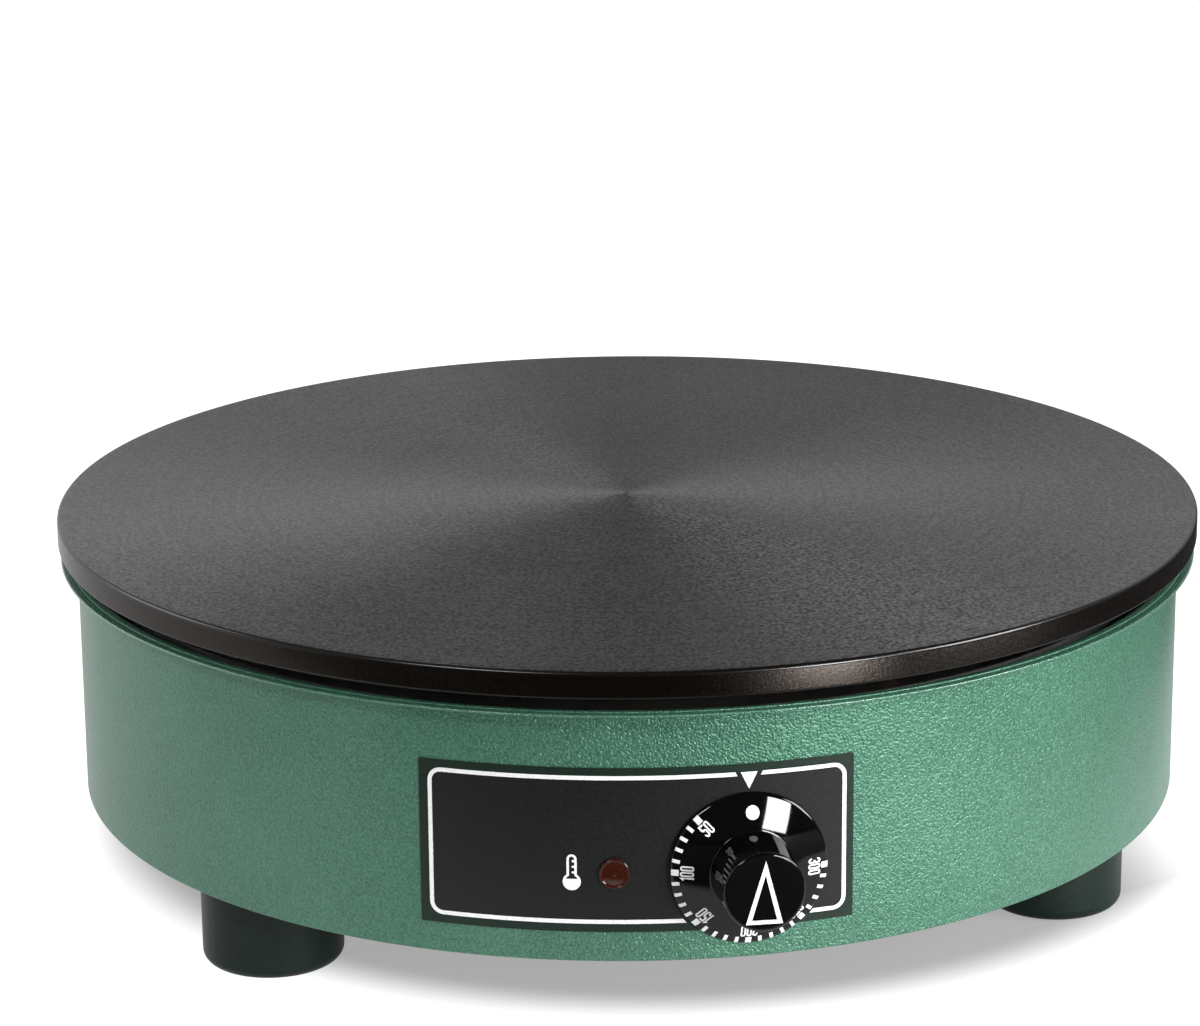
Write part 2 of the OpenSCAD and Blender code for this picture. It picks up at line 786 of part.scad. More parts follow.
// A six-sided cap nut that ends in a round dome
module gland_cap() {
    back = gland_hex_end + 0.2;
    hex_end = back + 8;
    dome_edge = 3.5;
    barrel_r = gland_af / 2 - 0.1;
    color([0.1, 0.1, 0.1]) on_gland_axis() difference() {
        union() {
            translate([0, 0, back]) cylinder(d = gland_af / cos(30), h = hex_end - back, $fn = 6);
            rotate_extrude($fn = 72) polygon(concat(
                [[0, back], [barrel_r, back]],
                arc(barrel_r - dome_edge, gland_end - dome_edge, dome_edge, 0, 90, 8),
                [[0, gland_end]]
            ));
        }
        translate([0, 0, back - 1]) cylinder(r = gland_neck_r, h = gland_mouth - back + 1);
        translate([0, 0, gland_mouth - 1]) cylinder(r = gland_thread_r, h = seal_end - gland_mouth + 1);
        translate([0, 0, seal_end - 1]) cylinder(r = gland_bore_r, h = 20);
    }
}

module gland_locknut() {
    nut = [20, 5];
    color([0.1, 0.1, 0.1]) on_gland_axis() translate([0, 0, drum_in_r - nut[1] - 0.5])
        hex_nut(nut, gland_thread_r);
}

// ---------------------------------------------------------------- wiring

poles = [-11, 0, 11];
block_screws = [6, 16];
wire_r = 1.3;
lead_r = 0.7;
wire_z = channel_top + block[2] / 2;
earth_y = 66;
earth_wire_z = channel_top + m5_nut[1] + wire_r;

// Ceramic block with three through ways and two clamp screws in each
module terminal_block() {
    color("white") translate([-block[0] / 2, block_y, channel_top]) difference() {
        cube(block);
        for (x = poles) translate([x + block[0] / 2, -1, block[2] / 2]) rotate([-90, 0, 0])
            cylinder(r = 2.4, h = block[1] + 2, $fn = 48);
        for (x = poles, y = block_screws) translate([x + block[0] / 2, y, block[2] / 2])
            cylinder(r = m4_r, h = block[2], $fn = 48);
    }
}

module terminal_screws() {
    color("gold") for (x = poles, y = block_screws) translate([x, block_y + y, wire_z + wire_r])
        cylinder(r = m4_r, h = block[2] / 2 - wire_r - 1, $fn = 48);
}

module earth_stud() {
    color("gold") translate([0, earth_y, channel_top - 8]) cylinder(r = m5_r, h = 20, $fn = 48);
}

module earth_nuts() {
    color("gold") for (z = [channel_top - channel_t - m5_nut[1], channel_top, earth_wire_z + wire_r])
        translate([0, earth_y, z]) hex_nut(m5_nut, m5_r);
}

leg_tab_z = leg_bottom - bead_h - tab_l;
tab_z = dial_z - 4;
inner_leg_x = inner_loop_r * cos(break_half(inner_loop_r)) + bend_r * sin(break_half(inner_loop_r));
inner_leg_y = inner_loop_r * sin(break_half(inner_loop_r)) - bend_r * cos(break_half(inner_loop_r));
outer_leg_x = outer_loop_r * cos(break_half(outer_loop_r)) + bend_r * sin(break_half(outer_loop_r));
outer_leg_y = outer_loop_r * sin(break_half(outer_loop_r)) - bend_r * cos(break_half(outer_loop_r));

live_route = [
    [-11, block_y + 18, wire_z], [-11, 90, wire_z], [-12, 78, wire_z], [-22, 55, wire_z - 2],
    [-34, 10, wire_z - 3], [-34, -60, wire_z - 2], [-22, -120, tab_z + 1], [-12, -143, tab_z],
    [-12, thermostat_tab_end, tab_z]
];
neutral_route = [
    [11, block_y + 18, wire_z], [11, 90, wire_z], [12, 78, wire_z], [24, 58, wire_z - 2],
    [58, 40, wire_z - 3], [84, 28, leg_tab_z - 7], [inner_leg_x - 1.5, inner_leg_y, leg_tab_z - 7],
    [inner_leg_x - 1.5, inner_leg_y, leg_tab_z]
];
switched_route = [
    [12, thermostat_tab_end, tab_z], [12, -143, tab_z], [24, -120, tab_z], [56, -80, tab_z - 1],
    [80, -42, channel_top + 6], [inner_leg_x - 1.5, -inner_leg_y, leg_tab_z - 7],
    [inner_leg_x - 1.5, -inner_leg_y, leg_tab_z]
];
earth_route = [
    [0, block_y + 18, wire_z], [0, 90, wire_z], [0, 80, wire_z], [0, 76, wire_z - 1],
    [0, 72, earth_wire_z], [0, earth_y + m5_r, earth_wire_z]
];

module wire_live() {
    color("brown") wire(live_route, wire_r, [0.3, 0.2, 1]);
}

// Neutral: block to the inner element, with a link to the outer one
module wire_neutral() {
    color("blue") {
        wire(neutral_route, wire_r, [0.9, -0.4, 0.2]);
        element_link(1);
    }
}

// Switched live: thermostat to the inner element, with a link to the outer one
module wire_switched() {
    color("black") {
        wire(switched_route, wire_r, [0.9, 0.4, 0.2]);
        element_link(-1);
    }
}

// A link under the tabs of the two elements, on one side
module element_link(side) {
    start_x = inner_leg_x + 1.6;
    start_y = side * inner_leg_y;
    end_y = side * outer_leg_y;
    wire([
        [start_x, start_y, leg_tab_z], [start_x, start_y, leg_tab_z - 2],
        [start_x + 4.4, start_y, leg_tab_z - 6],
        [(start_x + outer_leg_x) / 2, end_y, leg_tab_z - 7], [outer_leg_x - 5, end_y, leg_tab_z - 6],
        [outer_leg_x, end_y, leg_tab_z - 2], [outer_leg_x, end_y, leg_tab_z]
    ], wire_r, [0, 1, 0]);
}

module wire_earth() {
    color("green") wire(earth_route, wire_r, [1, 0, 0]);
}

// Two thin leads from the lamp to the thermostat's tabs
module lamp_leads() {
    inward = [sin(lamp_angle), cos(lamp_angle), 0];
    end_z = tab_z - wire_r - lead_r - 0.3;
    color("white") for (lead = [0, 1]) {
        tab_x = thermostat_tab_x[lead];
        start = [0, 0, lamp_z + 1.4 - 2.8 * lead] - holder_end * inward;
        wire([
            start, start + 6 * inward, start + 18 * inward + [2, 0, -2 - 3 * lead],
            [tab_x - 6, -138, tab_z - 7 - 4 * lead], [tab_x, -146, end_z],
            [tab_x, thermostat_tab_end, end_z]
        ], lead_r, [1, 0, 0.3]);
    }
}

griddle_plate();
plate_studs();
plate_nuts();
clamp_bars();
outer_element();
inner_element();
element_beads();
element_tabs();
heat_reflector();
insulation_pad();
insulation_tray();
stud_sleeves();
support_pillars();
pillar_nuts();
support_channel();
drum_shell();
base_cover();
cover_screws();
foot_left();
foot_right();
foot_rear();
foot_screws();
foot_washers();
foot_spacers();
foot_nuts();
control_label();
lamp_lens();
lamp_holder();
lamp_neon();
lamp_retainer();
thermostat_plate();
thermostat_body();
thermostat_bush();
thermostat_screws();
thermostat_tabs();
thermostat_shaft();
thermostat_knob();
knob_face_cap();
knob_spring();
sensor_bulb();
capillary_tube();
bulb_clip();
bulb_clip_screws();
gland_body();
gland_seal();
gland_cap();
gland_locknut();
terminal_block();
terminal_screws();
earth_stud();
earth_nuts();
wire_live();
wire_switched();
wire_neutral();
wire_earth();
lamp_leads();
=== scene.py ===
"""Looks of an electric crepe maker: a turned cast-iron plate on a green steel drum with a dial.

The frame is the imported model's: z = 0 is the floor and the dial faces -Y. The object's sizes are in
millimetres, and make_piece turns them into metres. The floor, the lamps and the camera are in metres.
"""

import json
import math

import bmesh
import bpy
from mathutils import Matrix, Vector
from mathutils.geometry import tessellate_polygon


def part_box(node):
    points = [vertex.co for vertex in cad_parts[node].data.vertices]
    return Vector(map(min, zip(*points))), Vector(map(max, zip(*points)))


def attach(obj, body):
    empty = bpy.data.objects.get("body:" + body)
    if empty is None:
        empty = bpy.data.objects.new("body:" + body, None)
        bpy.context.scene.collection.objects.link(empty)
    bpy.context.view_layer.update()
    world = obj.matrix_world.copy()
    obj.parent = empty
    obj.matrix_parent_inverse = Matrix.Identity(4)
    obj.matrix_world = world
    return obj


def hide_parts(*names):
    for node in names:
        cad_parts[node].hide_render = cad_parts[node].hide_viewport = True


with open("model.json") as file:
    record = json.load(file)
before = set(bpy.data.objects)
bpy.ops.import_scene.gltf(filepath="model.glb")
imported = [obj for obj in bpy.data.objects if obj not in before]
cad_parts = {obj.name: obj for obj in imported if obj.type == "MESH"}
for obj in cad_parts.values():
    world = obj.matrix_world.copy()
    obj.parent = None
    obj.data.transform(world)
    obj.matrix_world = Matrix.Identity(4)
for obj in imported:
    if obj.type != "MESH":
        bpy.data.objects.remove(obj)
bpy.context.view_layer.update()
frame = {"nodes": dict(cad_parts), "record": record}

MM = 0.001

# ---------------------------------------------------------------- sizes, in millimetres

# Cooking plate, with the radii of the mesh's rings on its top, and the bosses under it
PLATE_T = 9.0
PLATE_TOP_EDGE = 1.3
PLATE_LIP_BELOW = 0.1
PLATE_BOTTOM_EDGE = 1.0
PLATE_RINGS = (195, 180, 140, 100, 60, 30, 12, 4, 0)
BOSS_R = 12.0
BOSS_CHAMFER = 0.5
BOSS_SINK = 0.5
BOSS_CIRCLE_R = 130.0
BOSS_ANGLES = (88.8, 208.8, 328.8)

# Drum: outside of the wall, sheet, and the lip that turns in at its foot
WALL_R = 193.5
WALL_RINGS = (20, 40, 60, 78)
SHEET_T = 1.2
LIP_BEND = 0.6
LIP_IN_R = 175.8

# The drum's flange: its bend, its round rim, and the step down to the rim
FLANGE_BEND = 1.5
RIM_CORNER = 0.42
STEP_R = 196.5
STEP_H = 0.3

# Label, with angles from the dial's axis
LABEL_T = 0.3
LABEL_ANGLES = (-31.0, 10.2)
LABEL_CORNER = 0.6

# White frame on the label: the outside of its line, and half the gap in it above the dial
FRAME_ANGLES = (-30.11, 9.47)
FRAME_TOP = 97.07
FRAME_BOTTOM = 47.87
FRAME_LINE = 1.36
FRAME_CORNER = 4.4
FRAME_GAP_OUTSIDE = 4.4
FRAME_GAP_INSIDE = 3.73

# The frame's line also stops at a circle round the dial
DIAL_CLEAR_R = 26.4

# Marker above the dial, and the thermometer between the frame and the lamp
MARKER_HALF = 2.72
MARKER_TOP = 96.95
MARKER_TIP = 91.4
THERMOMETER_ANGLE = -16.49
LAMP_ANGLE = -12.5
LAMP_Z = 64.9

# Dial: a domed skirt whose edge rolls over, and a grip that widens a little at its root
DIAL_Z = 65.3
SKIRT_R = 25.2
RIM_H = 0.35
RIM_ROLL = 2.0
DOME_R = 62.0
GRIP_ROOT_R = 13.4
GRIP_FACE_R = 13.05
GRIP_EDGE = 1.0
GRIP_FILLET = 0.4
KNOB_BACK = 194.2
KNOB_FACE = 216.2
WALL_T = 1.6
WEB_Z = 2.0

# Prints on the dial stand a little clockwise of upright
PRINT_TURN = -1.25
NUMBERS = (50, 100, 150, 200, 250, 300)
NUMBER_STEP = 45
NUMBER_R = 18.3
MARKS_PER_NUMBER = 5
MARK_RADII = (22.85, 25.12)
MARK_HALF = 0.58
NUMBER_MARK_HALF = 1.0
OFF_DOT_R = 2.18
OFF_DOT_CIRCLE_R = 19.2
POINTER_OUTSIDE = [(0, 10.45), (-5.9, -10.35), (5.9, -10.35)]
POINTER_INSIDE = [(0, 5.75), (-4.0, -9.05), (4.0, -9.05)]

# Prints stand this much proud of the surface that carries them, and sink as much into it
PRINT_LIFT = 0.04

# Pilot lamp: a lens with round ridges in a raised rim, and the barrel behind it
LENS_R = 4.95
LENS_BACK = 193.9
LENS_EDGE_H = 0.6
LENS_CROWN_H = 1.0
LENS_RIM_R = 0.35
LENS_RIM_H = 0.75
RIDGES = 6
RIDGE_PITCH = (LENS_R - 1.0) / RIDGES
RIDGE_EDGE_R = LENS_R - 0.9
RIDGE_DEPTH = 0.12
BARREL_R = 4.0
BARREL_IN_R = 3.2
BARREL_END = 178.3

# Steps round each turned piece
PLATE_STEPS = 360
BOSS_STEPS = 48
DRUM_STEPS = 480
KNOB_STEPS = 256
LENS_STEPS = 72


# ---------------------------------------------------------------- mesh helpers

def arc(cx, cy, r, start, end, n=8):
    """Points of an arc about (cx, cy), from one angle to another in degrees."""
    angles = [math.radians(start + (end - start) * i / n) for i in range(n + 1)]
    return [(cx + r * math.cos(a), cy + r * math.sin(a)) for a in angles]


def make_piece(name, points, faces, materials, body, sharp=35):
    """A mesh object from points in millimetres. Each face is (corners, material index)."""
    mesh = bpy.data.meshes.new(name)
    mesh.from_pydata([Vector(p) * MM for p in points], [], [f for f, _ in faces])
    mesh.polygons.foreach_set("material_index", [m for _, m in faces])
    for material in materials:
        mesh.materials.append(material)
    mesh.shade_smooth()
    mesh.set_sharp_from_angle(angle=math.radians(sharp))
    piece = bpy.data.objects.new(name, mesh)
    bpy.context.scene.collection.objects.link(piece)
    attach(piece, body)
    return piece


def lathe(profile, steps, index=0):
    """Points and faces of a profile of (radius, height) turned about Z. Radius 0 is a pole."""
    points, rings = [], []
    for r, h in profile:
        if r == 0:
            rings.append([len(points)])
            points.append((0, 0, h))
            continue
        rings.append(range(len(points), len(points) + steps))
        turns = [2 * math.pi * k / steps for k in range(steps)]
        points += [(r * math.cos(a), r * math.sin(a), h) for a in turns]
    faces = []
    for low, high in zip(rings, rings[1:]):
        for k in range(steps):
            nxt = (k + 1) % steps
            if len(low) == 1:
                corners = (low[0], high[nxt], high[k])
            elif len(high) == 1:
                corners = (low[k], low[nxt], high[0])
            else:
                corners = (low[k], low[nxt], high[nxt], high[k])
            faces.append((corners, index))
    return points, faces


def merge(*parts):
    """Several (points, faces) as one."""
    points, faces = [], []
    for more, their_faces in parts:
        start = len(points)
        points += more
        faces += [(tuple(start + c for c in corners), m) for corners, m in their_faces]
    return points, faces


def shift(part, x, y):
    points, faces = part
    return [(px + x, py + y, z) for px, py, z in points], faces


def turn_outward(part, angle, height):
    """Turns local z to run outward from the drum's axis, at an angle from the dial and a height."""
    points, faces = part
    turn = Matrix.Rotation(math.radians(angle), 3, "Z")
    return [turn @ Vector((x, -z, height + y)) for x, y, z in points], faces


# ---------------------------------------------------------------- prints and thin sheets

def on_label(s, z, lift):
    """A point on the label: s runs round the drum in millimetres, from the dial to the right."""
    r = WALL_R + LABEL_T + lift
    a = s / (WALL_R + LABEL_T)
    return Vector((r * math.sin(a), -r * math.cos(a), z))


def dome_centre():
    """Height of the centre of the dial's dome over its back, below zero."""
    return RIM_H - math.sqrt(DOME_R ** 2 - SKIRT_R ** 2)


def roll_centre():
    """Radius and height of the centre of the roll that leads from the dome to the skirt's edge."""
    reach = DOME_R - RIM_ROLL
    apart = math.hypot(SKIRT_R, dome_centre())
    along = (reach ** 2 - RIM_ROLL ** 2 + apart ** 2) / (2 * apart)
    aside = math.sqrt(reach ** 2 - along ** 2)
    r, h = SKIRT_R / apart, -dome_centre() / apart
    return along * r - aside * h, dome_centre() + along * h + aside * r


def dome_height(r, lift=0):
    """Height of the dial's front over its back at a radius."""
    roll_r, roll_h = roll_centre()
    if r > roll_r * DOME_R / (DOME_R - RIM_ROLL):
        return roll_h + math.sqrt(max((RIM_ROLL + lift) ** 2 - (r - roll_r) ** 2, 0))
    return dome_centre() + math.sqrt((DOME_R + lift) ** 2 - r ** 2)


def on_dome(x, z, lift):
    out = KNOB_BACK + dome_height(math.hypot(x, z), lift)
    return Vector((x, -out, DIAL_Z + z))


def on_face(x, z, lift):
    return Vector((x, -KNOB_FACE - lift, DIAL_Z + z))


def sheet_part(loops, place, front, back, cell, index=0):
    """A thin closed solid over the outline loops, cut into cells so that it follows a curve.

    place(u, v, lift) gives the point for a place on the sheet and its lift off the surface.
    """
    bm = bmesh.new()
    flat = [Vector((u, v, 0)) for loop in loops for u, v in loop]
    corners = [bm.verts.new(p) for p in flat]
    for triangle in tessellate_polygon([[Vector((u, v, 0)) for u, v in loop] for loop in loops]):
        bm.faces.new([corners[i] for i in triangle])
    for axis in (0, 1):
        low = min(p[axis] for p in flat)
        high = max(p[axis] for p in flat)
        normal = Vector((1 - axis, axis, 0))
        for i in range(1, math.ceil((high - low) / cell)):
            geometry = bm.verts[:] + bm.edges[:] + bm.faces[:]
            cut = normal * (low + i * cell)
            bmesh.ops.bisect_plane(bm, geom=geometry, plane_co=cut, plane_no=normal)
    bm.verts.index_update()
    bm.normal_update()
    count = len(bm.verts)
    points = [place(v.co.x, v.co.y, lift) for lift in (front, back) for v in bm.verts]
    faces = []
    for face in bm.faces:
        ring = [v.index for v in face.verts]
        if face.normal.z < 0:
            ring.reverse()
        faces.append((tuple(ring), index))
        faces.append((tuple(count + i for i in reversed(ring)), index))
    for edge in bm.edges:
        if len(edge.link_faces) == 1:
            loop = edge.link_loops[0]
            a, b = loop.vert.index, loop.link_loop_next.vert.index
            if loop.face.normal.z < 0:
                a, b = b, a
            faces.append(((b, a, count + a, count + b), index))
    bm.free()
    return points, faces


def ink(loops, place, cell=3):
    """A print's solid, standing just proud of what carries it."""
    return sheet_part(loops, place, PRINT_LIFT, -PRINT_LIFT, cell)


def ribbon(line, width):
    """The outline of a line drawn with a flat-ended pen."""
    sides = ([], [])
    for i, (x, y) in enumerate(line):
        before, after = line[max(i - 1, 0)], line[min(i + 1, len(line) - 1)]
        first = Vector((x - before[0], y - before[1]))
        last = Vector((after[0] - x, after[1] - y))
        first = (first if first.length else last).normalized()
        last = (last if last.length else first).normalized()
        along = (first + last).normalized()
        reach = width / 2 / max(along.dot(first), 0.5)
        for side, sign in zip(sides, (1, -1)):
            side.append((x - sign * along.y * reach, y + sign * along.x * reach))
    return sides[0] + sides[1][::-1]


def round_box(x0, y0, x1, y1, r, n=8):
    """A rectangle with round corners, anticlockwise."""
    return (arc(x1 - r, y1 - r, r, 0, 90, n) + arc(x0 + r, y1 - r, r, 90, 180, n)
            + arc(x0 + r, y0 + r, r, 180, 270, n) + arc(x1 - r, y0 + r, r, 270, 360, n))


def turned(loop, angle, r):
    """Moves a loop out to a radius and turns it about the origin, anticlockwise in degrees."""
    a = math.radians(angle)
    return [(x * math.cos(a) - (y + r) * math.sin(a), x * math.sin(a) + (y + r) * math.cos(a))
            for x, y in loop]


# ---------------------------------------------------------------- materials

def new_material(name, **inputs):
    """A material with a Principled shader. Keys are the sockets' names with _ for a space."""
    material = bpy.data.materials.new(name)
    material.use_nodes = True
    shader = material.node_tree.nodes["Principled BSDF"]
    for key, value in inputs.items():
        shader.inputs[key.replace("_", " ")].default_value = value
    return material, shader


def connect(owner, output, socket):
    owner.node_tree.links.new(output, socket)


def add_node(owner, kind, inputs=None, **settings):
    """A node in a material or the world. Its inputs are numbers or other nodes' outputs."""
    made = owner.node_tree.nodes.new(kind)
    for key, value in settings.items():
        setattr(made, key, value)
    for key, value in (inputs or {}).items():
        if isinstance(value, bpy.types.NodeSocket):
            connect(owner, value, made.inputs[key])
        else:
            made.inputs[key].default_value = value
    return made


def place_of(material):
    """Object coordinates: they move with the piece."""
    return add_node(material, "ShaderNodeTexCoord").outputs["Object"]


def noise(material, scale, detail=2, roughness=0.5, vector=None, stretch=None):
    """A noise in the object's own metres; its output is about 0.2 to 0.8."""
    vector = vector or place_of(material)
    if stretch:
        mapping = add_node(material, "ShaderNodeMapping", {"Vector": vector, "Scale": stretch})
        vector = mapping.outputs["Vector"]
    made = add_node(material, "ShaderNodeTexNoise", {
        "Vector": vector, "Scale": scale, "Detail": detail, "Roughness": roughness})
    return made.outputs["Fac"]


def ramp(material, factor, *stops):
    """A colour ramp of (position, colour or grey) stops."""
    made = add_node(material, "ShaderNodeValToRGB", {"Fac": factor})
    elements = made.color_ramp.elements
    while len(elements) < len(stops):
        elements.new(0.5)
    for element, (position, colour) in zip(elements, stops):
        element.position = position
        grey = isinstance(colour, (int, float))
        element.color = (colour, colour, colour, 1) if grey else (*colour, 1)
    return made.outputs["Color"]


def spread(material, factor, low, high):
    """Maps the middle of a noise to a range of numbers."""
    made = add_node(material, "ShaderNodeMapRange", {
        "Value": factor, "From Min": 0.25, "From Max": 0.75, "To Min": low, "To Max": high})
    return made.outputs["Result"]


def bump(material, shader, height, strength, distance_mm, normal=None):
    inputs = {"Height": height, "Strength": strength, "Distance": distance_mm * MM}
    if normal:
        inputs["Normal"] = normal
    made = add_node(material, "ShaderNodeBump", inputs)
    connect(material, made.outputs["Normal"], shader.inputs["Normal"])


def graded(owner, value, low, high, at_low, at_high):
    """A number that goes smoothly from at_low to at_high as value goes from low to high."""
    made = add_node(owner, "ShaderNodeMapRange", {
        "Value": value, "From Min": low, "From Max": high, "To Min": at_low, "To Max": at_high},
        interpolation_type="SMOOTHSTEP")
    return made.outputs["Result"]


def combined(owner, operation, a, b):
    return add_node(owner, "ShaderNodeMath", {0: a, 1: b}, operation=operation).outputs["Value"]


def mix_of(material, share, first, second):
    """Two numbers mixed; share is the second one's."""
    return add_node(material, "ShaderNodeMix", {0: share, 2: first, 3: second}).outputs[0]


def vector_math(material, operation, inputs):
    return add_node(material, "ShaderNodeVectorMath", inputs, operation=operation).outputs


def from_axis(material):
    """The vector to the place from the nearest point of the Z axis."""
    return vector_math(material, "MULTIPLY", {0: place_of(material), 1: (1, 1, 0)})["Vector"]


def ring_radius(material):
    """Distance from the Z axis, as a vector along X, for noises that follow turned rings."""
    length = vector_math(material, "LENGTH", {0: from_axis(material)})["Value"]
    return add_node(material, "ShaderNodeCombineXYZ", {"X": length}).outputs["Vector"]


def leaning_normal(material, lean):
    """The surface's normal with a vector added, for turned grooves whose flanks face one way."""
    normal = add_node(material, "ShaderNodeNewGeometry").outputs["Normal"]
    leaning = vector_math(material, "ADD", {0: normal, 1: lean})["Vector"]
    return vector_math(material, "NORMALIZE", {0: leaning})["Vector"]


def brush_round(material, shader):
    """Runs the brushed highlights round the Z axis."""
    tangent = add_node(material, "ShaderNodeTangent", direction_type="RADIAL", axis="Z")
    connect(material, tangent.outputs["Tangent"], shader.inputs["Tangent"])


def turned_iron():
    """The plate's top: seasoned cast iron with fine turned rings, whose flanks lean outward."""
    material, shader = new_material(
        "turned_iron", Metallic=1.0, Roughness=0.42, Anisotropic=0.75, Anisotropic_Rotation=0.25)
    grain = noise(material, 780, 3, 0.8)
    rings = noise(material, 420, 3, 0.7, vector=ring_radius(material))
    stains = noise(material, 9, 3)
    turning = mix_of(material, 0.15, grain, rings)
    shade = mix_of(material, 0.1, turning, stains)
    colours = ramp(material, shade, (0.4, (0.022, 0.022, 0.021)), (0.6, (0.215, 0.213, 0.204)))
    connect(material, colours, shader.inputs["Base Color"])
    connect(material, spread(material, grain, 0.34, 0.5), shader.inputs["Roughness"])
    outward = vector_math(material, "NORMALIZE", {0: from_axis(material)})["Vector"]
    lean = vector_math(material, "SCALE", {0: outward, "Scale": 0.05})["Vector"]
    bump(material, shader, turning, 0.6, 0.12, normal=leaning_normal(material, lean))
    brush_round(material, shader)
    return material


def plate_edge_iron():
    """The plate's turned side, under a dark brown skin of burnt oil."""
    material, shader = new_material(
        "plate_edge_iron", Roughness=0.25, Anisotropic=0.7, Anisotropic_Rotation=0.25,
        Specular_IOR_Level=0.4, Specular_Tint=(1.0, 0.86, 0.77, 1.0))
    stretched = noise(material, 30, 4, 0.6, stretch=(1, 1, 12))
    colours = ramp(material, stretched, (0.3, (0.0004, 0.0002, 0.0001)), (0.7, (0.0016, 0.001, 0.0007)))
    connect(material, colours, shader.inputs["Base Color"])
    grain = noise(material, 1100, 2, 0.7)
    connect(material, spread(material, grain, 0.2, 0.3), shader.inputs["Roughness"])
    bump(material, shader, grain, 0.8, 0.08, normal=leaning_normal(material, (0, 0, 0.14)))
    brush_round(material, shader)
    return material


def hammer_paint(name, coat, coat_roughness, peel_mm):
    """Green paint with metal flake under a clear skin with a fine orange peel."""
    material, shader = new_material(
        name, Metallic=0.4, Roughness=0.36, Coat_Weight=coat, Coat_Roughness=coat_roughness)
    flake = noise(material, 1250, 1, 0.5)
    cloud = noise(material, 25, 3)
    shade = mix_of(material, 0.2, flake, cloud)
    colours = ramp(material, shade, (0.32, (0.043, 0.14, 0.088)), (0.68, (0.096, 0.254, 0.172)))
    connect(material, colours, shader.inputs["Base Color"])
    connect(material, spread(material, flake, 0.3, 0.42), shader.inputs["Roughness"])
    bump(material, shader, flake, 1.0, 0.5)
    peel = add_node(material, "ShaderNodeBump", {
        "Height": noise(material, 450, 1), "Strength": 1.0, "Distance": peel_mm * MM})
    connect(material, peel.outputs["Normal"], shader.inputs["Coat Normal"])
    return material


def plastic(name, colour, roughness, grain=900, lift_mm=0.03, strength=0.3, **more):
    """Moulded plastic, rubber or film: even colour with a fine grain."""
    material, shader = new_material(name, Roughness=roughness, **more)
    texture = noise(material, grain, 2)
    low = tuple(c * 0.85 for c in colour)
    high = tuple(min(1.0, c * 1.15) for c in colour)
    connect(material, ramp(material, texture, (0.3, low), (0.7, high)), shader.inputs["Base Color"])
    connect(material, spread(material, texture, roughness * 0.85, roughness * 1.15),
            shader.inputs["Roughness"])
    bump(material, shader, texture, strength, lift_mm)
    return material


def metal(name, colour, roughness, stretch=(1, 1, 1)):
    """Bare metal with a drawn or plated grain and faint blotches."""
    material, shader = new_material(name, Metallic=1.0, Roughness=roughness)
    lines = noise(material, 300, 3, 0.6, stretch=stretch)
    blotches = noise(material, 40, 3)
    shade = mix_of(material, 0.4, lines, blotches)
    low = tuple(c * 0.8 for c in colour)
    connect(material, ramp(material, shade, (0.3, low), (0.7, colour)), shader.inputs["Base Color"])
    connect(material, spread(material, shade, roughness * 0.75, roughness * 1.25),
            shader.inputs["Roughness"])
    bump(material, shader, lines, 0.2, 0.04)
    return material


def amber():
    """Dark amber plastic over a reflector with fine rings."""
    material, shader = new_material("amber", Roughness=0.09, Specular_IOR_Level=0.5)
    ring_pitch = 0.55 * MM
    a = math.radians(LAMP_ANGLE)
    centre = Vector((math.sin(a), -math.cos(a), 0)) * LENS_BACK * MM + Vector((0, 0, LAMP_Z * MM))
    offset = vector_math(material, "DISTANCE", {0: place_of(material), 1: centre})["Value"]
    turns = combined(material, "MULTIPLY", offset, 2 * math.pi / ring_pitch)
    wave = add_node(material, "ShaderNodeMath", {0: turns}, operation="SINE").outputs["Value"]
    share = add_node(material, "ShaderNodeMapRange", {"Value": wave, "From Min": -1.0})
    colours = ramp(material, share.outputs["Result"],
                   (0.0, (0.018, 0.002, 0.0005)), (1.0, (0.055, 0.01, 0.003)))
    connect(material, colours, shader.inputs["Base Color"])
    bump(material, shader, noise(material, 2500, 1), 0.1, 0.01)
    return material


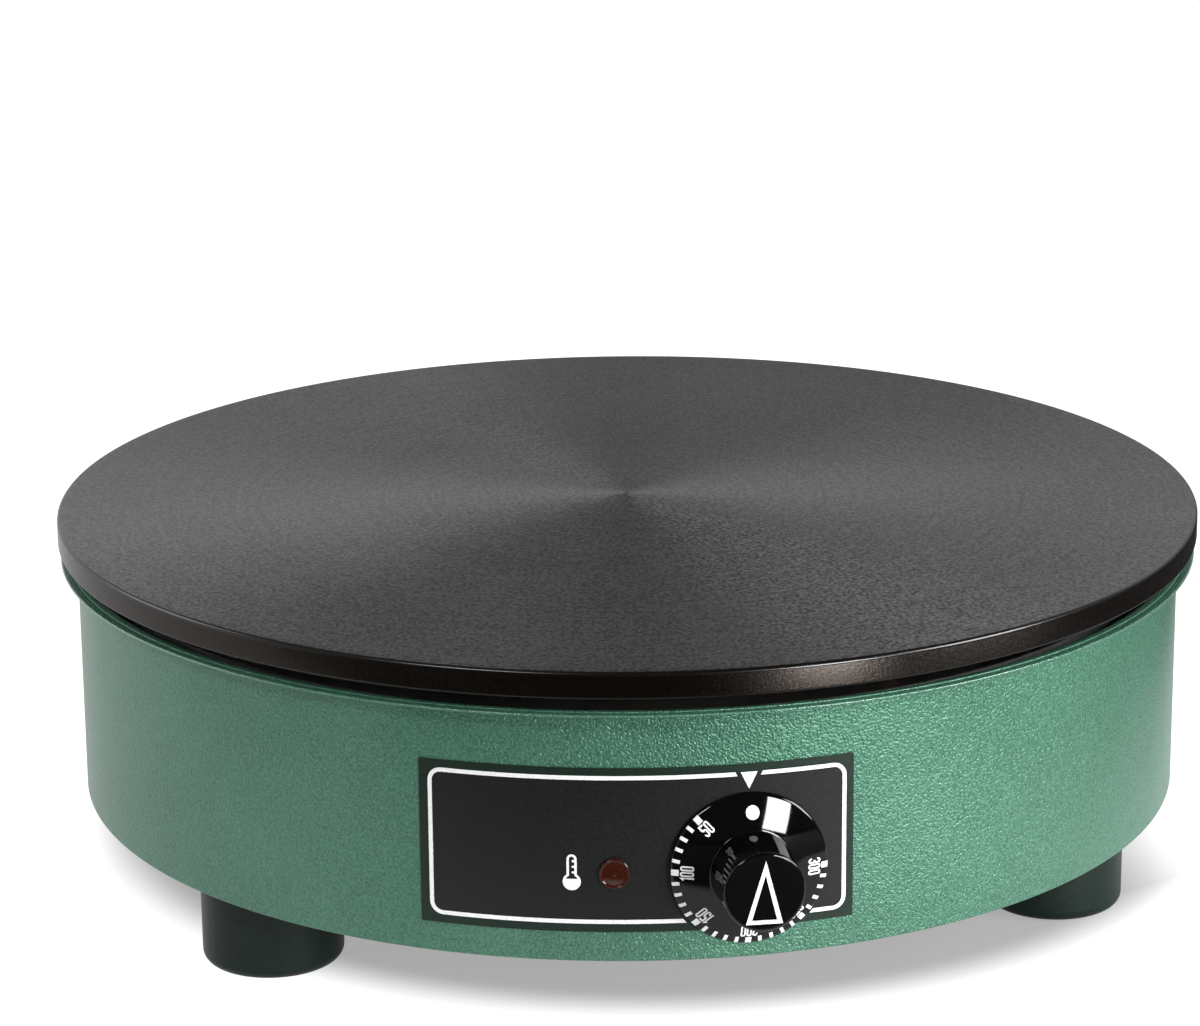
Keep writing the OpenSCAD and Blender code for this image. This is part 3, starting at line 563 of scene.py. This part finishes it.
MATERIALS = {
    "turned_iron": turned_iron(),
    "plate_edge_iron": plate_edge_iron(),
    "burnt_rim": plastic(
        "burnt_rim", (0.002, 0.0015, 0.001), 0.22, 900, 0.05, Specular_IOR_Level=0.5),
    "green_hammer_paint": hammer_paint("hammer_paint", 0.25, 0.12, 0.08),
    "paint_bead": hammer_paint("paint_bead", 1.0, 0.06, 0.25),
    "foot_rubber": plastic(
        "foot_rubber", (0.006, 0.0145, 0.012), 0.36, 700, 0.04, Specular_IOR_Level=0.25),
    "label_film": plastic(
        "label_film", (0.0055, 0.006, 0.006), 0.42, 1300, 0.02, 0.25, Specular_IOR_Level=0.4),
    "label_border": plastic(
        "label_border", (0.0055, 0.017, 0.0105), 0.42, 1300, 0.02, 0.25, Specular_IOR_Level=0.38),
    "white_ink": plastic("white_ink", (0.93, 0.93, 0.92), 0.4, 1500, 0.005, 0.2),
    "knob_black": plastic(
        "knob_black", (0.0015, 0.0015, 0.0015), 0.045, 500, 0.01, 0.05, Specular_IOR_Level=0.4),
    "amber_lens": amber(),
    "zinc_steel": metal("zinc_steel", (0.62, 0.62, 0.6), 0.38),
    "element_sheath": metal("element_sheath", (0.16, 0.15, 0.145), 0.5, (1, 1, 6)),
    "aluminised_sheet": metal("aluminised_sheet", (0.6, 0.6, 0.6), 0.45, (1, 8, 1)),
    "brass_parts": metal("brass_parts", (0.75, 0.55, 0.25), 0.3),
    "copper_parts": metal("copper_parts", (0.7, 0.36, 0.22), 0.35),
    "ceramic_fibre": plastic("ceramic_fibre", (0.78, 0.75, 0.68), 0.95, 220, 0.6, 0.8),
    "white_ceramic": plastic("white_ceramic", (0.8, 0.78, 0.74), 0.5, 500, 0.05),
    "gland_plastic": plastic("gland_plastic", (0.02, 0.02, 0.021), 0.4, 900, 0.04),
    "seal_rubber": plastic("seal_rubber", (0.014, 0.014, 0.014), 0.6, 700, 0.06),
    "white_plastic": plastic("white_plastic", (0.82, 0.82, 0.8), 0.45, 900, 0.02),
    "neon_glass": plastic("neon_glass", (0.6, 0.25, 0.1), 0.1, 900, 0.01, 0.1),
    "brown_insulation": plastic("brown_insulation", (0.09, 0.035, 0.015), 0.45, 900, 0.02),
    "black_insulation": plastic("black_insulation", (0.012, 0.012, 0.012), 0.45, 900, 0.02),
    "blue_insulation": plastic("blue_insulation", (0.02, 0.06, 0.3), 0.45, 900, 0.02),
    "green_insulation": plastic("green_insulation", (0.05, 0.28, 0.03), 0.45, 900, 0.02),
}

for subpart in frame["record"]["subparts"]:
    node_mesh = frame["nodes"][subpart["node"]].data
    slot_name = subpart["material_slot"]
    node_mesh.materials.clear()
    node_mesh.materials.append(MATERIALS["turned_iron" if slot_name == "cast_iron" else slot_name])


# ---------------------------------------------------------------- pieces

def make_plate():
    """The turned plate: its top, its browned side and the three bosses underneath."""
    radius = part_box("griddle_plate")[1].x / MM
    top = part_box("griddle_plate")[1].z / MM
    boss_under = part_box("griddle_plate")[0].z / MM
    under = top - PLATE_T
    side_profile = (
        [(0, under)]
        + arc(radius - PLATE_BOTTOM_EDGE, under + PLATE_BOTTOM_EDGE, PLATE_BOTTOM_EDGE, -90, 0, 6)
        + [(radius, top - PLATE_TOP_EDGE - PLATE_LIP_BELOW)]
    )
    lip = arc(radius - PLATE_TOP_EDGE, top - PLATE_TOP_EDGE, PLATE_TOP_EDGE, 0, 75, 8)
    lip_profile = side_profile[-1:] + lip
    top_profile = lip[-1:] + [(radius - PLATE_TOP_EDGE, top)] + [(r, top) for r in PLATE_RINGS]
    boss = lathe([(0, boss_under), (BOSS_R - BOSS_CHAMFER, boss_under),
                  (BOSS_R, boss_under + BOSS_CHAMFER), (BOSS_R, under + BOSS_SINK)], BOSS_STEPS, index=1)
    bosses = []
    for degrees in BOSS_ANGLES:
        a = math.radians(degrees)
        bosses.append(shift(boss, BOSS_CIRCLE_R * math.cos(a), BOSS_CIRCLE_R * math.sin(a)))
    points, faces = merge(
        lathe(side_profile, PLATE_STEPS, index=1), lathe(lip_profile, PLATE_STEPS, index=2),
        lathe(top_profile, PLATE_STEPS), *bosses)
    skins = [MATERIALS[name] for name in ("turned_iron", "plate_edge_iron", "burnt_rim")]
    plate = make_piece("plate_casting", points, faces, skins, "casing")
    weld(plate)
    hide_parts("griddle_plate")


def weld(piece):
    """Joins points that lie together, such as where two turned profiles meet."""
    bm = bmesh.new()
    bm.from_mesh(piece.data)
    bmesh.ops.remove_doubles(bm, verts=bm.verts, dist=0.001 * MM)
    bmesh.ops.recalc_face_normals(bm, faces=bm.faces)
    bm.to_mesh(piece.data)
    bm.free()


def make_drum():
    """The rolled sheet: wall, flange turned out at the top and lip turned in at the foot."""
    low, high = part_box("drum_shell")
    foot, top, flange_r = low.z / MM, high.z / MM, high.x / MM
    inner = WALL_R - SHEET_T
    bead = (arc(flange_r - RIM_CORNER, top - SHEET_T + RIM_CORNER, RIM_CORNER, -90, 0, 6)
            + arc(flange_r - RIM_CORNER, top - STEP_H - RIM_CORNER, RIM_CORNER, 0, 90, 6))
    outside = (
        [(LIP_IN_R, foot)]
        + arc(WALL_R - LIP_BEND, foot + LIP_BEND, LIP_BEND, -90, 0, 5)
        + [(WALL_R, foot + h) for h in WALL_RINGS]
        + arc(WALL_R + FLANGE_BEND, top - SHEET_T - FLANGE_BEND, FLANGE_BEND, 180, 90, 8)
        + bead[:1]
    )
    inside = (
        bead[-1:]
        + [(STEP_R, top - STEP_H)]
        + arc(STEP_R - STEP_H / 2, top - STEP_H / 2, STEP_H / 2, 0, 90, 3)
        + arc(WALL_R + FLANGE_BEND, top - SHEET_T - FLANGE_BEND, FLANGE_BEND + SHEET_T, 90, 180, 8)
        + [(inner, foot + SHEET_T), (LIP_IN_R, foot + SHEET_T), (LIP_IN_R, foot)]
    )
    points, faces = merge(lathe(outside, DRUM_STEPS), lathe(bead, DRUM_STEPS, index=1),
                          lathe(inside, DRUM_STEPS))
    skins = [MATERIALS["green_hammer_paint"], MATERIALS["paint_bead"]]
    drum = make_piece("drum_body", points, faces, skins, "casing")
    weld(drum)
    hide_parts("drum_shell")


def frame_corners(inset=0.0):
    """Left, bottom, right and top of the frame's line, inset from its outside."""
    left, right = (math.radians(a) * (WALL_R + LABEL_T) for a in FRAME_ANGLES)
    return left + inset, FRAME_BOTTOM + inset, right - inset, FRAME_TOP - inset


def make_label():
    """The film: a black panel in a dark green border. The white frame covers their joint."""
    left, right = (math.radians(a) * (WALL_R + LABEL_T) for a in LABEL_ANGLES)
    low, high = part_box("control_label")
    outside = round_box(left, low.z / MM, right, high.z / MM, LABEL_CORNER, 3)
    middle = FRAME_LINE / 2
    joint = round_box(*frame_corners(middle), FRAME_CORNER - middle)
    panel = sheet_part([joint], on_label, 0, -LABEL_T, cell=2)
    border = sheet_part([outside, joint], on_label, 0, -LABEL_T, cell=2, index=1)
    points, faces = merge(panel, border)
    label = make_piece("label_sheet", points, faces, [MATERIALS["label_film"], MATERIALS["label_border"]],
                       "casing")
    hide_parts("control_label")


def frame_line(side):
    """Half of the frame's white line, from beside the marker to beside the dial. Side is -1 or 1."""
    edges = []
    for inset, gap in ((0, FRAME_GAP_OUTSIDE), (FRAME_LINE, FRAME_GAP_INSIDE)):
        left, bottom, right, top = frame_corners(inset)
        reach = right if side > 0 else -left
        r = FRAME_CORNER - inset
        dial_gap = math.sqrt(DIAL_CLEAR_R ** 2 - (DIAL_Z - bottom) ** 2)
        edge = [(gap, top)] + arc(reach - r, top - r, r, 90, 0) + arc(reach - r, bottom + r, r, 0, -90)
        edges.append([(side * s, z) for s, z in edge + [(dial_gap, bottom)]])
    return edges[0] + edges[1][::-1]


def thermometer():
    """Outlines of a thermometer sign: a glass with a hollow above the liquid, and three marks."""
    s = math.radians(THERMOMETER_ANGLE) * (WALL_R + LABEL_T)
    stem, slot = 1.62, 0.84
    top, hollow_top, liquid = 70.97, 70.25, 62.8
    bulb_z, bulb_r, bulb_hollow_r = 61.87, 2.88, 2.1
    join = math.degrees(math.asin(stem / bulb_r))
    mouth = math.degrees(math.acos(slot / bulb_hollow_r))
    level = math.degrees(math.asin((liquid - bulb_z) / bulb_hollow_r))
    glass = (arc(s, top - stem, stem, 0, 180, 12)
             + arc(s, bulb_z, bulb_r, 90 + join, 450 - join, 28))
    hollow = (arc(s, bulb_z, bulb_hollow_r, level, mouth, 5)
              + arc(s, hollow_top - slot, slot, 0, 180, 10)
              + arc(s, bulb_z, bulb_hollow_r, 180 - mouth, 180 - level, 5))
    mark_half, mark_reach = 0.36, slot + 0.3
    marks = [[round_box(s, z - mark_half, s + mark_reach, z + mark_half, 0.3, 4)]
             for z in (68.75, 66.85, 64.98)]
    return [[glass, hollow]] + marks


def make_label_prints():
    marker = [(-MARKER_HALF, MARKER_TOP), (0, MARKER_TIP), (MARKER_HALF, MARKER_TOP)]
    prints = [[frame_line(-1)], [frame_line(1)], [marker]] + thermometer()
    points, faces = merge(*[ink(loops, on_label) for loops in prints])
    make_piece("label_prints", points, faces, [MATERIALS["white_ink"]], "casing")


def digit_width(character):
    return 1.0 if character == "1" else 1.68


def digit(character, height=4.2, pen=0.56):
    """Outline loops of a narrow bold digit, drawn about the middle of its width from y = 0 up."""
    width = digit_width(character)
    half = width / 2 - pen / 2
    low, high, middle = pen / 2, height - pen / 2, height / 2
    if character == "0":
        return [[round_box(-width / 2, 0, width / 2, height, width / 2 - 0.1, 8),
                 round_box(pen - width / 2, pen, width / 2 - pen, height - pen, 0.15, 4)]]
    if character == "1":
        return [[ribbon([(-half - 0.2, high - 0.75), (half, high), (half, 0)], pen)]]
    top_turn = arc(0, high - half, half, 180, 0, 8)
    lower_turn = arc(0, low + half, half, 0, -180, 8)
    if character == "2":
        line = ([(-half, high - half - 0.4)] + top_turn
                + [(half, middle + 0.4), (-half, low + 0.7), (-half, low)])
        return [[ribbon(line, pen)], [round_box(-width / 2, 0, width / 2, pen, 0.05, 1)]]
    if character == "3":
        line = ([(-half, high - half - 0.3)] + top_turn + [(half, middle + 0.4), (half - 0.25, middle)]
                + [(half, middle - 0.4)] + lower_turn + [(-half, low + half + 0.3)])
        return [[ribbon(line, pen)], [round_box(-0.2, middle - 0.33, half, middle + 0.33, 0.05, 1)]]
    if character == "5":
        bowl = arc(0, middle + 0.35 - half, half, 150, 0, 7) + lower_turn + [(-half, low + half + 0.35)]
        return [[ribbon([(-half, high), (-half, middle + 0.2)], pen)], [ribbon(bowl, pen)],
                [round_box(-width / 2, height - pen, width / 2, height, 0.05, 1)]]
    raise ValueError(character)


def number(text, angle, r):
    """Loops of a number whose feet stand on a circle of radius r, turned anticlockwise."""
    gap = 0.22
    length = sum(digit_width(c) for c in text) + gap * (len(text) - 1)
    found = []
    along = -length / 2
    for character in text:
        across = along + digit_width(character) / 2
        along += digit_width(character) + gap
        for loops in digit(character):
            found.append([turned([(x + across, y) for x, y in loop], angle, r) for loop in loops])
    return found


def make_dial_prints():
    """The scale, anticlockwise from its first number, the off dot at the top and the pointer."""
    mark_in, mark_out = MARK_RADII
    loops = []
    for i in range(MARKS_PER_NUMBER * (len(NUMBERS) - 1) + 1):
        half = MARK_HALF if i % MARKS_PER_NUMBER else NUMBER_MARK_HALF
        mark = round_box(-half, 0, half, mark_out - mark_in, 0.1, 2)
        angle = NUMBER_STEP * (1 + i / MARKS_PER_NUMBER) + PRINT_TURN
        loops.append([turned(mark, angle, mark_in)])
    for i, value in enumerate(NUMBERS, 1):
        loops += number(str(value), NUMBER_STEP * i + PRINT_TURN, NUMBER_R)
    loops.append([turned(arc(0, 0, OFF_DOT_R, 0, 351, 39), PRINT_TURN, OFF_DOT_CIRCLE_R)])
    points, faces = merge(*[ink(group, on_dome, 0.45) for group in loops])
    make_piece("dial_prints", points, faces, [MATERIALS["white_ink"]], "knob")
    pointer = [turned(loop, PRINT_TURN, 0) for loop in (POINTER_OUTSIDE, POINTER_INSIDE)]
    points, faces = ink(pointer, on_face)
    make_piece("pointer_print", points, faces, [MATERIALS["white_ink"]], "knob")


def make_knob():
    """Domed skirt, round grip and the flat face on its end, as one glossy surface."""
    centre_h = dome_centre()
    roll_r, roll_h = roll_centre()
    inner_r = DOME_R - WALL_T
    inner_foot = math.degrees(math.asin(-centre_h / inner_r))
    inner_web = math.degrees(math.asin((WEB_Z - centre_h) / inner_r))
    roll_foot = math.degrees(math.asin(-roll_h / RIM_ROLL))
    roll_end = math.degrees(math.acos(roll_r / (DOME_R - RIM_ROLL)))
    root = math.degrees(math.acos((GRIP_ROOT_R + GRIP_FILLET) / DOME_R))
    root_h = dome_height(GRIP_ROOT_R)
    grip_h = KNOB_FACE - KNOB_BACK
    profile = (
        [(0, WEB_Z)]
        + arc(0, centre_h, inner_r, inner_web, inner_foot, 12)
        + arc(roll_r, roll_h, RIM_ROLL, roll_foot, roll_end, 8)
        + arc(0, centre_h, DOME_R, roll_end, root, 40)[1:]
        + [(GRIP_ROOT_R + 0.3 * GRIP_FILLET, root_h + 0.125 * GRIP_FILLET),
           (GRIP_ROOT_R, root_h + 0.875 * GRIP_FILLET)]
        + arc(GRIP_FACE_R - GRIP_EDGE, grip_h - GRIP_EDGE, GRIP_EDGE, 0, 90, 8)
        + [(9, grip_h), (4, grip_h), (0, grip_h)]
    )
    points, faces = lathe([(r, h + KNOB_BACK) for r, h in profile], KNOB_STEPS)
    points, faces = turn_outward((points, faces), 0, DIAL_Z)
    skins = [MATERIALS["knob_black"]]
    knob = make_piece("knob_moulding", points, faces, skins, "knob", sharp=50)
    weld(knob)
    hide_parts("thermostat_knob", "knob_face_cap")


def make_lens():
    """A lens with round ridges in a thin raised rim, on its barrel."""
    profile = [(BARREL_IN_R, BARREL_END), (BARREL_R, BARREL_END), (BARREL_R, LENS_BACK)]
    profile += [(LENS_R, LENS_BACK)]
    profile += arc(LENS_R - LENS_RIM_R, LENS_BACK + LENS_RIM_H, LENS_RIM_R, 0, 180, 8)
    for i in range(RIDGES):
        r = RIDGE_EDGE_R - i * RIDGE_PITCH
        rise = (LENS_CROWN_H - LENS_EDGE_H) * (1 - (r / LENS_R) ** 2)
        crown = LENS_BACK + LENS_EDGE_H + rise
        profile += [(r, crown - RIDGE_DEPTH), (r - RIDGE_PITCH / 2, crown)]
    profile += [(0, LENS_BACK + LENS_CROWN_H)]
    points, faces = turn_outward(lathe(profile, LENS_STEPS), LAMP_ANGLE, LAMP_Z)
    skins = [MATERIALS["amber_lens"]]
    lens = make_piece("lens_moulding", points, faces, skins, "casing", sharp=60)
    weld(lens)
    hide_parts("lamp_lens")


make_plate()
make_drum()
make_label()
make_label_prints()
make_knob()
make_dial_prints()
make_lens()


# ---------------------------------------------------------------- floor, light and camera

FLOOR_HALF = 12.0

# The drum's painted shadow: a pale soft circle painted on the floor, that fades out at the right
SHADOW_CENTRE = (0.02, 0.052, 0)
SHADOW_RADII = (0.188, 0.218)
SHADOW_FADE_X = (0.15, 0.21)
SHADOW_GREY = 0.37

# The floor glows onto the object as painted light only behind a line in front of the dial, which leans
# forward at the right, and not beyond a cut across the front right corner and a line at the right. Its
# paper colour is painted lighter in that glow zone and darker outside it and in the painted shadow
LIT_FRONT_Y = (-0.315, -0.285)
LIT_FRONT_SLOPE = 0.36
LIT_CORNER_WAY = (0.685, -0.73, 0)
LIT_CORNER_END = (0.38, 0.42)
LIT_RIGHT_X = (0.28, 0.4)
LIT_SHINE = 0.5
PAPER_DARK = 0.015
PAPER_LIT = 0.22

CAMERA_PLACE = (-0.26504, -1.34193, 0.5249)
CAMERA_TURNS = (10.777, 16.275, -0.506)
CAMERA_SENSOR_MM = 36
CAMERA_LENS_MM = 120.65


def make_floor():
    """A paper floor: the camera sees it white beyond the drum's painted shadow, the object the painted
    glow of its lit part.
    """
    mesh = bpy.data.meshes.new("floor")
    corners = [(x * FLOOR_HALF, y * FLOOR_HALF, 0) for x, y in ((-1, -1), (1, -1), (1, 1), (-1, 1))]
    mesh.from_pydata(corners, [], [(0, 1, 2, 3)])
    floor = bpy.data.objects.new("floor", mesh)
    bpy.context.scene.collection.objects.link(floor)
    paper, shader = new_material("floor_paper_painted_light", Roughness=0.9)
    shader.inputs["Emission Color"].default_value = (1, 1, 1, 1)

    place = place_of(paper)
    parts = add_node(paper, "ShaderNodeSeparateXYZ", {0: place}).outputs
    slope = combined(paper, "MULTIPLY", combined(paper, "MAXIMUM", parts["X"], 0.0), LIT_FRONT_SLOPE)
    front = graded(paper, combined(paper, "ADD", parts["Y"], slope), *LIT_FRONT_Y, 0.0, 1.0)
    corner = vector_math(paper, "DOT_PRODUCT", {0: place, 1: LIT_CORNER_WAY})["Value"]
    short = graded(paper, corner, *LIT_CORNER_END, 1.0, 0.0)
    right = graded(paper, parts["X"], *LIT_RIGHT_X, 1.0, 0.0)
    # Painted shadow: inside a soft circle round the drum, fading out to the right, the floor's brightness
    # drops to SHADOW_GREY, which the camera sees
    aside = vector_math(paper, "DISTANCE", {0: place, 1: SHADOW_CENTRE})["Value"]
    outside = combined(paper, "MAXIMUM", graded(paper, aside, *SHADOW_RADII, SHADOW_GREY, 1.0),
                       graded(paper, parts["X"], *SHADOW_FADE_X, SHADOW_GREY, 1.0))
    # Painted light: the zone where the floor glows onto the object, dimmed in the painted shadow
    painted_light = combined(paper, "MULTIPLY", front, combined(paper, "MULTIPLY", right, short))
    painted_light = combined(paper, "MULTIPLY", painted_light, outside)
    # Paper colour painted lighter in the glow zone, darker in front, at the right and in the painted
    # shadow
    connect(paper, ramp(paper, painted_light, (0.0, PAPER_DARK), (1.0, PAPER_LIT)), shader.inputs["Base Color"])
    path = add_node(paper, "ShaderNodeLightPath").outputs
    direct = combined(paper, "MAXIMUM", path["Is Camera Ray"], path["Is Transmission Ray"])
    indirect = combined(paper, "MAXIMUM", path["Is Glossy Ray"], path["Is Diffuse Ray"])
    # Painted glow: the floor emits light onto the object in that zone, for glossy and diffuse rays
    shine = combined(paper, "MULTIPLY", indirect, combined(paper, "MULTIPLY", painted_light, LIT_SHINE))
    seen = combined(paper, "MULTIPLY", direct, outside)
    connect(paper, combined(paper, "ADD", seen, shine), shader.inputs["Emission Strength"])
    mesh.materials.append(paper)


def softbox(name, azimuth, elevation, distance, width, height, watts, lean=0, glossy=True):
    """An area lamp that faces the drum. Azimuth 0 is in front and 90 to the right.

    lean turns it about its line to the drum, anticlockwise as the drum sees it. Angles are in degrees.
    """
    lamp = bpy.data.lights.new(name, "AREA")
    lamp.shape = "RECTANGLE"
    lamp.size = width
    lamp.size_y = height
    lamp.energy = watts
    box = bpy.data.objects.new(name, lamp)
    bpy.context.scene.collection.objects.link(box)
    a, e = math.radians(azimuth), math.radians(elevation)
    aim = Vector((0, 0, 0.07))
    toward = Vector((math.sin(a) * math.cos(e), -math.cos(a) * math.cos(e), math.sin(e)))
    box.location = aim + toward * distance
    lean_turn = Matrix.Rotation(math.radians(-lean), 3, "Z")
    box.rotation_euler = (toward.to_track_quat("Z", "Y").to_matrix() @ lean_turn).to_euler()
    box.visible_glossy = glossy


def make_world():
    """A soft studio: bright low down behind and to the left, dim overhead and in front.

    The camera sees it white.
    """
    world = bpy.data.worlds.new("studio")
    world.use_nodes = True
    background = world.node_tree.nodes["Background"]
    background.inputs["Color"].default_value = (1, 1, 1, 1)
    direction = add_node(world, "ShaderNodeTexCoord").outputs["Generated"]
    parts = add_node(world, "ShaderNodeSeparateXYZ", {0: direction}).outputs
    back = graded(world, parts["Y"], -0.9, 0.6, 0.045, 0.79)
    up = graded(world, parts["Z"], 0.3, 0.75, 1.0, 0.25)
    right = graded(world, parts["X"], -0.5, 0.8, 1.12, 0.5)
    room = combined(world, "MULTIPLY", combined(world, "MULTIPLY", back, up), right)
    camera_ray = add_node(world, "ShaderNodeLightPath").outputs["Is Camera Ray"]
    connect(world, combined(world, "MAXIMUM", room, camera_ray), background.inputs["Strength"])
    bpy.context.scene.world = world


def make_camera():
    """The photograph's camera, fitted to the plate, the drum, the label and the feet."""
    yaw, pitch, roll = (math.radians(a) for a in CAMERA_TURNS)
    forward = Vector((math.sin(yaw) * math.cos(pitch), math.cos(yaw) * math.cos(pitch), -math.sin(pitch)))
    right = forward.cross(Vector((0, 0, 1))).normalized()
    up = right.cross(forward)
    tilted_right = math.cos(roll) * right + math.sin(roll) * up
    tilted_up = -math.sin(roll) * right + math.cos(roll) * up
    data = bpy.data.cameras.new("camera")
    data.sensor_fit = "HORIZONTAL"
    data.sensor_width = CAMERA_SENSOR_MM
    data.lens = CAMERA_LENS_MM
    camera = bpy.data.objects.new("camera", data)
    bpy.context.scene.collection.objects.link(camera)
    turn = Matrix((tilted_right, tilted_up, -forward)).transposed()
    camera.matrix_world = Matrix.Translation(Vector(CAMERA_PLACE)) @ turn.to_4x4()
    bpy.context.scene.camera = camera


make_floor()

# Name, azimuth, elevation, distance, width, height and watts
softbox("top_box", 0, 86, 2.0, 1.6, 1.6, 34, glossy=False)
softbox("window_box", 26.1, 10.1, 2.0, 0.49, 0.6, 29, lean=22)
softbox("right_box", 57, 21, 1.6, 0.65, 0.65, 23)
softbox("left_box", -112, 26, 1.7, 0.9, 0.8, 5)
softbox("left_strip", -44, 40, 1.85, 0.6, 0.22, 8)
softbox("back_box", 125, 35, 1.7, 1.0, 0.8, 1.6)

make_world()
make_camera()

bpy.context.scene.view_settings.view_transform = "Standard"
